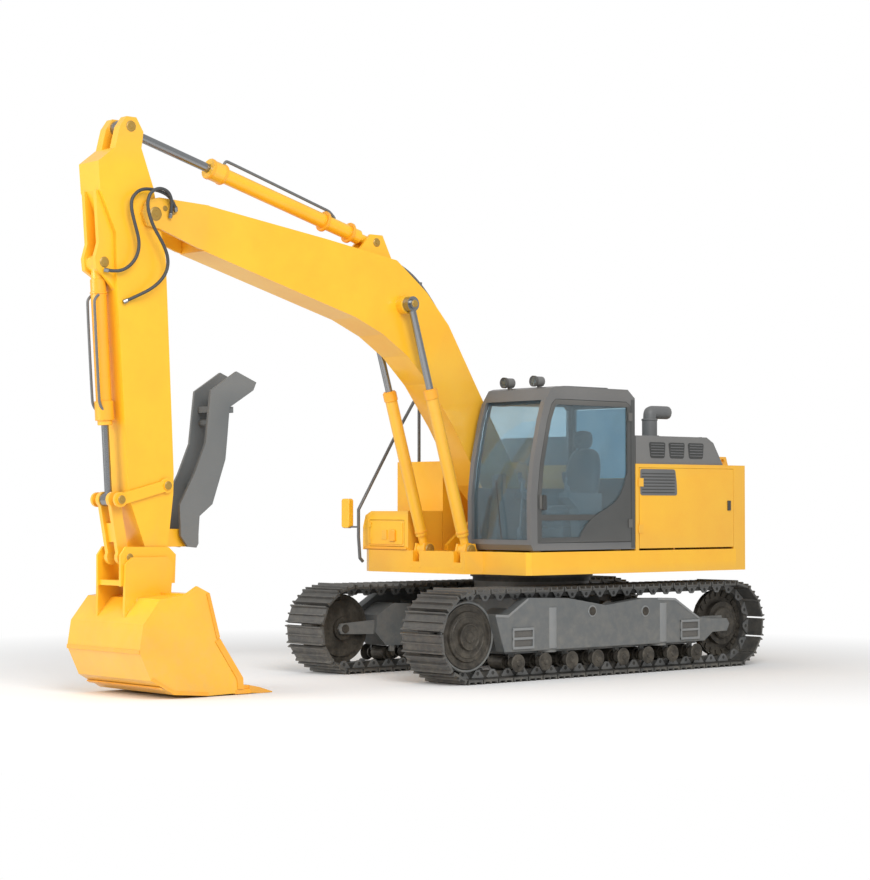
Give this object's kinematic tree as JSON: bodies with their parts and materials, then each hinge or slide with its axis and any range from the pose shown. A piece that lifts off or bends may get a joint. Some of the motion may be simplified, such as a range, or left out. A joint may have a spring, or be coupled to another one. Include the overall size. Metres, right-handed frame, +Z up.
{
  "type": "crawler excavator",
  "caption": "Digging machine on crawler tracks: a turning house with cab and engine, and a boom, stick and bucket moved by hydraulic cylinders, with a folding thumb.",
  "frame": {"origin": "on the ground, at the centre of the machine's box in plan", "axes": "+X forward along the boom, +Y to the operator's left (cab side), +Z up"},
  "size_m": [8.4398, 2.675, 5.46],
  "materials": {
    "console_plastic": "matte",
    "dark_grey_paint": "satin",
    "grey_paint": "satin",
    "rod_steel": "polished",
    "seat_cover": "woven",
    "tinted_glass": "clear",
    "tooth_steel": "worn",
    "track_steel": "worn",
    "yellow_paint": "satin"
  },
  "bodies": {
    "undercarriage": {"car_body": "dark_grey_paint", "swing_bearing": "track_steel", "track_frame_left": "dark_grey_paint", "idler_left": "dark_grey_paint", "sprocket_left": "dark_grey_paint", "rollers_left": "dark_grey_paint", "track_left": "track_steel", "track_frame_right": "dark_grey_paint", "idler_right": "dark_grey_paint", "sprocket_right": "dark_grey_paint", "rollers_right": "dark_grey_paint", "track_right": "track_steel"},
    "house": {"main_frame": "yellow_paint", "counterweight": "yellow_paint", "cab_shell": "grey_paint", "cab_glass": "tinted_glass", "operator_seat": "seat_cover", "cab_console": "console_plastic", "travel_levers": "dark_grey_paint", "work_lamps": "grey_paint", "engine_bay": "dark_grey_paint", "engine_block": "dark_grey_paint", "fuel_tank": "yellow_paint", "tool_box": "yellow_paint", "handrail": "dark_grey_paint", "mirror": "dark_grey_paint"},
    "cab_door": {"cab_door": "dark_grey_paint", "door_glass": "tinted_glass"},
    "engine_hood": {"engine_hood": "grey_paint", "exhaust_pipe": "grey_paint"},
    "service_door_left": {"service_door_left": "yellow_paint"},
    "service_door_right": {"service_door_right": "yellow_paint"},
    "tool_box_door": {"tool_box_door": "yellow_paint"},
    "boom": {"boom": "yellow_paint"},
    "boom_cylinder_barrels": {"boom_cylinder_barrels": "yellow_paint"},
    "boom_cylinder_rods": {"boom_cylinder_rods": "rod_steel"},
    "stick_cylinder_barrel": {"stick_cylinder_barrel": "yellow_paint"},
    "stick_cylinder_rod": {"stick_cylinder_rod": "rod_steel"},
    "stick": {"stick": "yellow_paint"},
    "bucket_cylinder_barrel": {"bucket_cylinder_barrel": "yellow_paint"},
    "bucket_cylinder_rod": {"bucket_cylinder_rod": "rod_steel"},
    "rocker_links": {"rocker_links": "yellow_paint"},
    "power_link": {"power_link": "yellow_paint"},
    "bucket": {"coupler": "yellow_paint", "bucket": "yellow_paint", "bucket_teeth": "tooth_steel"},
    "thumb": {"thumb": "grey_paint"}
  },
  "joints": [
    {"name": "house_swing", "type": "hinge", "parent": "undercarriage", "child": "house", "pos_m": [-1.52, 0.0825, 1.075], "axis": [0, 0, 1], "continuous": true},
    {"name": "boom_lift", "type": "hinge", "parent": "house", "child": "boom", "pos_m": [-1.17, 0.0825, 1.72], "axis": [0, -1, 0], "range_deg": [-25, 10]},
    {"name": "stick_crowd", "type": "hinge", "parent": "boom", "child": "stick", "pos_m": [3.6, 0.0825, 4.56], "axis": [0, 1, 0], "range_deg": [-28, 22]},
    {"name": "bucket_curl", "type": "hinge", "parent": "stick", "child": "bucket", "pos_m": [3.54, 0.0825, 1.27], "axis": [0, 1, 0], "range_deg": [-32, 25]},
    {"name": "thumb_fold", "type": "hinge", "parent": "stick", "child": "thumb", "pos_m": [3.114, 0.0825, 1.487], "axis": [0, 1, 0], "range_deg": [-80, 0]},
    {"name": "boom_barrel_tilt", "type": "hinge", "parent": "house", "child": "boom_cylinder_barrels", "pos_m": [-0.25, 0.0825, 1.322], "axis": [0, -1, 0], "range_deg": [-25.66, 10.26]},
    {"name": "boom_rod_stroke", "type": "slide", "parent": "boom_cylinder_barrels", "child": "boom_cylinder_rods", "axis": [0.2882, 0, 0.9576], "range_m": [-0.43924, 0.1757]},
    {"name": "stick_barrel_tilt", "type": "hinge", "parent": "boom", "child": "stick_cylinder_barrel", "pos_m": [0.78, 0.0825, 4.52], "axis": [0, 1, 0], "range_deg": [-3.88, 3.05]},
    {"name": "stick_rod_stroke", "type": "slide", "parent": "stick_cylinder_barrel", "child": "stick_cylinder_rod", "axis": [0.964, 0, 0.266], "range_m": [-0.36002, 0.28287]},
    {"name": "bucket_barrel_tilt", "type": "hinge", "parent": "stick", "child": "bucket_cylinder_barrel", "pos_m": [4.12, 0.0825, 4.07], "axis": [0, 1, 0], "range_deg": [-0.87, 0.68]},
    {"name": "bucket_rod_stroke", "type": "slide", "parent": "bucket_cylinder_barrel", "child": "bucket_cylinder_rod", "axis": [-0.0629, 0, -0.998], "range_m": [-0.16826, 0.13146]},
    {"name": "rocker_turn", "type": "hinge", "parent": "stick", "child": "rocker_links", "pos_m": [3.46, 0.0825, 1.985], "axis": [0, 1, 0], "range_deg": [-18.59, 14.52]},
    {"name": "power_link_turn", "type": "hinge", "parent": "bucket", "child": "power_link", "pos_m": [3.88, 0.0825, 1.31], "axis": [0, 1, 0], "range_deg": [-31.94, 40.88]},
    {"name": "cab_door_swing", "type": "hinge", "parent": "house", "child": "cab_door", "pos_m": [-1.824, 1.3218, 1.5], "axis": [0, 0, 1], "range_deg": [0, 80]},
    {"name": "service_door_left_swing", "type": "hinge", "parent": "house", "child": "service_door_left", "pos_m": [-1.932, 1.3218, 1.5], "axis": [0, 0, -1], "range_deg": [0, 80]},
    {"name": "service_door_right_swing", "type": "hinge", "parent": "house", "child": "service_door_right", "pos_m": [-1.932, -1.1568, 1.5], "axis": [0, 0, 1], "range_deg": [0, 80]},
    {"name": "engine_hood_lift", "type": "hinge", "parent": "house", "child": "engine_hood", "pos_m": [-3.32, 0.0825, 2.259], "axis": [0, -1, 0], "range_deg": [0, 60]},
    {"name": "tool_box_door_swing", "type": "hinge", "parent": "house", "child": "tool_box_door", "pos_m": [-0.1127, -1.0275, 1.5], "axis": [0, 0, -1], "range_deg": [0, 85]}
  ],
  "couplings": [
    {"joint": "boom_barrel_tilt", "follows": "boom_lift", "ratio": 1.0061},
    {"joint": "boom_rod_stroke", "follows": "boom_lift", "m_per_rad": 0.98693},
    {"joint": "stick_barrel_tilt", "follows": "stick_crowd", "ratio": 0.13577},
    {"joint": "stick_rod_stroke", "follows": "stick_crowd", "m_per_rad": 0.72226},
    {"joint": "bucket_barrel_tilt", "follows": "bucket_curl", "ratio": 0.026775},
    {"joint": "bucket_rod_stroke", "follows": "bucket_curl", "m_per_rad": 0.29537},
    {"joint": "rocker_turn", "follows": "bucket_curl", "ratio": 0.56947},
    {"joint": "power_link_turn", "follows": "bucket_curl", "ratio": -1.2526}
  ]
}
